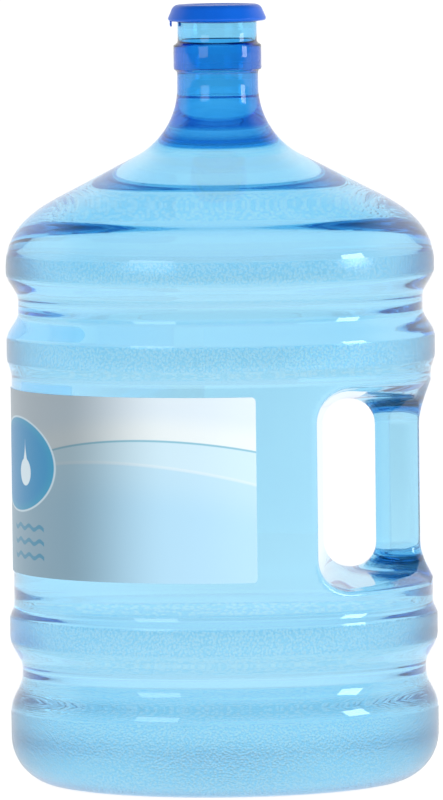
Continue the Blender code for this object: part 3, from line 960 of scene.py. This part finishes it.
def make_label(printed, plain):
    """The printed film round the panel, with its lengths along and up as its plan map."""
    inner = PANEL_RADIUS + LABEL_GAP
    outer = inner + LABEL_THICKNESS
    low, high = LABEL
    edge = LABEL_THICKNESS / 3.0
    corner = 0.0028
    ends = np.array([0.0, 0.0002, 0.0005, 0.0010, 0.0016, 0.0022]) / outer
    middle = np.linspace(LABEL_START + corner / outer, LABEL_END - corner / outer, 141)
    angles = np.concatenate((LABEL_START + ends, middle, LABEL_END - ends[::-1]))
    points = []
    for angle in angles:
        to_end = min(angle - LABEL_START, LABEL_END - angle) * outer
        short = max(corner - to_end, 0.0)
        trim = corner - math.sqrt(corner ** 2 - short ** 2)
        bottom = low + trim
        top = high - trim
        section = [(inner, bottom), (outer - edge, bottom), (outer, bottom + edge)]
        section += [(outer, bottom + (top - bottom) * part / 8.0) for part in range(1, 8)]
        section += [(outer, top - edge), (outer - edge, top), (inner, top)]
        points += [(r * math.cos(angle), r * math.sin(angle), z) for r, z in section]
    count = len(section)
    faces = []
    for column in range(len(angles) - 1):
        for row in range(count):
            after = (row + 1) % count
            first = column * count
            faces.append((first + row, first + count + row, first + count + after, first + after))
    faces.append(tuple(range(count)))
    faces.append(tuple(range(len(points) - 1, len(points) - 1 - count, -1)))
    mesh = bpy.data.meshes.new("wrap_film")
    mesh.from_pydata(points, [], faces)
    mesh.update()
    plan = mesh.uv_layers.new(name="plan")
    places = []
    for loop in mesh.loops:
        x, y, z = mesh.vertices[loop.vertex_index].co
        angle = math.atan2(y, x) % math.tau
        places += [(angle - TOWARDS_CAMERA) * outer, z]
    plan.data.foreach_set("uv", places)
    mesh.polygons.foreach_set("use_smooth", [True] * len(mesh.polygons))
    mesh.set_sharp_from_angle(angle=math.radians(30.0))
    label = place("wrap_film", mesh, printed, "jug")
    mesh.materials.append(plain)
    for face in mesh.polygons:
        centre = face.center
        face.material_index = int(face.normal.x * centre.x + face.normal.y * centre.y < 0.0)
    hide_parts("wrap_label")


# ---- the cap ---------------------------------------------------------------------

def cap_outline(low, top):
    """Cap section from the middle of the top, over the rim, up the bore to the roof."""
    roof = top - CAP_DISH_DEPTH - CAP_ROOF
    dish = top - CAP_DISH_DEPTH
    slope = swell((CAP_DISH_RADIUS - 0.0025, dish), (CAP_DISH_RADIUS, top), 8)
    points = [(0.0, dish), (0.5 * CAP_DISH_RADIUS, dish), (CAP_DISH_RADIUS - 0.0035, dish)]
    points += slope[::-1]
    points.append(((CAP_DISH_RADIUS + CAP_TOP_RADIUS) / 2.0, top))
    points += arc(CAP_TOP_RADIUS, top - CAP_CORNER, CAP_CORNER, 90.0, 14.0, 14)
    rim_r = CAP_RIM_RADIUS - CAP_RIM_ROUND
    rim_z = low + 1.25 * CAP_RIM_ROUND
    points += arc(rim_r, rim_z, CAP_RIM_ROUND, 14.0, -80.0, 14)
    lip = 0.0006
    points += [
        (CAP_SNAP_BORE + 2.2 * lip, low + 0.3 * lip),
        (CAP_SNAP_BORE + lip, low),
        (CAP_SNAP_BORE + 0.2 * lip, low + 0.3 * lip),
        (CAP_SNAP_BORE, low + lip),
        (CAP_SNAP_BORE + 0.4 * lip, low + 1.8 * lip),
        (CAP_BORE, low + 3.0 * lip),
        (CAP_BORE, low + 5.0 * lip),
        (CAP_BORE, roof - lip),
        (CAP_BORE - 0.3 * lip, roof - 0.3 * lip),
        (CAP_BORE - lip, roof),
        (PLUG_RING[1] + lip, roof),
        (PLUG_RING[1], roof - 0.5 * lip),
        (PLUG_RING[1], PLUG_RING_BOTTOM + 0.4 * lip),
        (PLUG_RING[1] - 0.5 * lip, PLUG_RING_BOTTOM),
        (PLUG_RING[0] + 0.5 * lip, PLUG_RING_BOTTOM),
        (PLUG_RING[0], PLUG_RING_BOTTOM + 0.4 * lip),
        (PLUG_RING[0], roof - 0.5 * lip),
        (PLUG_RING[0] - lip, roof),
        (0.5 * PLUG_RING[0], roof),
        (0.0, roof),
    ]
    return points


def make_cap(material):
    """The press-on cap, turned from its section."""
    low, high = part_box("cap_shell")
    sheet = Sheet()
    columns = np.linspace(0.0, math.tau, 120, endpoint=False)
    sheet.add_rows(cap_outline(low.z, high.z), columns)
    cap = place("push_cap", sheet_mesh("push_cap", sheet), material, "cap")
    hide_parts("cap_shell")


def make_tab(material):
    """The lift tab: a small tongue with round lower corners and three grip ridges."""
    low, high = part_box("pull_tab")
    width = high.y - low.y
    corner = 0.0014
    outline = [(-width / 2.0, high.z), (-width / 2.0, low.z + corner)]
    outline += arc(-width / 2.0 + corner, low.z + corner, corner, 180.0, 270.0, 6)[1:]
    outline += arc(width / 2.0 - corner, low.z + corner, corner, 270.0, 360.0, 6)
    outline.append((width / 2.0, high.z))
    ridge = 0.00025
    shape = bmesh.new()
    back = [shape.verts.new((high.x, y, z)) for y, z in outline]
    face = shape.faces.new(back)
    front = bmesh.ops.extrude_face_region(shape, geom=[face])
    moved = [item for item in front["geom"] if isinstance(item, bmesh.types.BMVert)]
    bmesh.ops.translate(shape, vec=(low.x + ridge - high.x, 0.0, 0.0), verts=moved)
    bmesh.ops.recalc_face_normals(shape, faces=shape.faces)
    bmesh.ops.bevel(shape, geom=shape.edges[:], offset=0.0003, segments=3, affect="EDGES", profile=0.5)
    step = (high.z - low.z) / 8.0
    for index in range(2, 8):
        whole = shape.verts[:] + shape.edges[:] + shape.faces[:]
        level = (0.0, 0.0, low.z + index * step)
        bmesh.ops.bisect_plane(shape, geom=whole, plane_co=level, plane_no=(0.0, 0.0, 1.0))
    strips = []
    for face in shape.faces:
        row = int((face.calc_center_median().z - low.z) / step)
        if face.normal.x < -0.99 and row in (2, 4, 6):
            strips.append(face)
    bmesh.ops.inset_individual(shape, faces=strips, thickness=0.00018, depth=ridge)
    mesh = bpy.data.meshes.new("lift_tab")
    shape.to_mesh(mesh)
    shape.free()
    mesh.polygons.foreach_set("use_smooth", [True] * len(mesh.polygons))
    mesh.set_sharp_from_angle(angle=math.radians(35.0))
    tab = place("lift_tab", mesh, material, "tab")
    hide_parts("pull_tab")


def main():
    make_camera()
    make_floor()
    make_world()
    make_softbox("softbox_left", -37.0, 1.5, (0.7, 0.5), 0.66)
    make_softbox("softbox_right", 76.0, 4.5, (0.42, 0.5), 0.655)
    make_softbox("key_light", 22.0, 2.3, (1.2, 1.2), 0.60, diffuse_only=True)
    bottle = Bottle()
    make_shell(bottle, bottle_material())
    make_water(bottle, water_material())
    make_label(label_material(), film_back_material())
    blue = cap_material()
    make_cap(blue)
    make_tab(blue)
    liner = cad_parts["cap_liner"]
    liner.data.materials.clear()
    liner.data.materials.append(foam_material())
    scene = bpy.context.scene
    scene.view_settings.view_transform = "Standard"
    scene.cycles.use_denoising = True
    scene.cycles.max_bounces = 32
    scene.cycles.transmission_bounces = 32
    scene.cycles.glossy_bounces = 32


main()
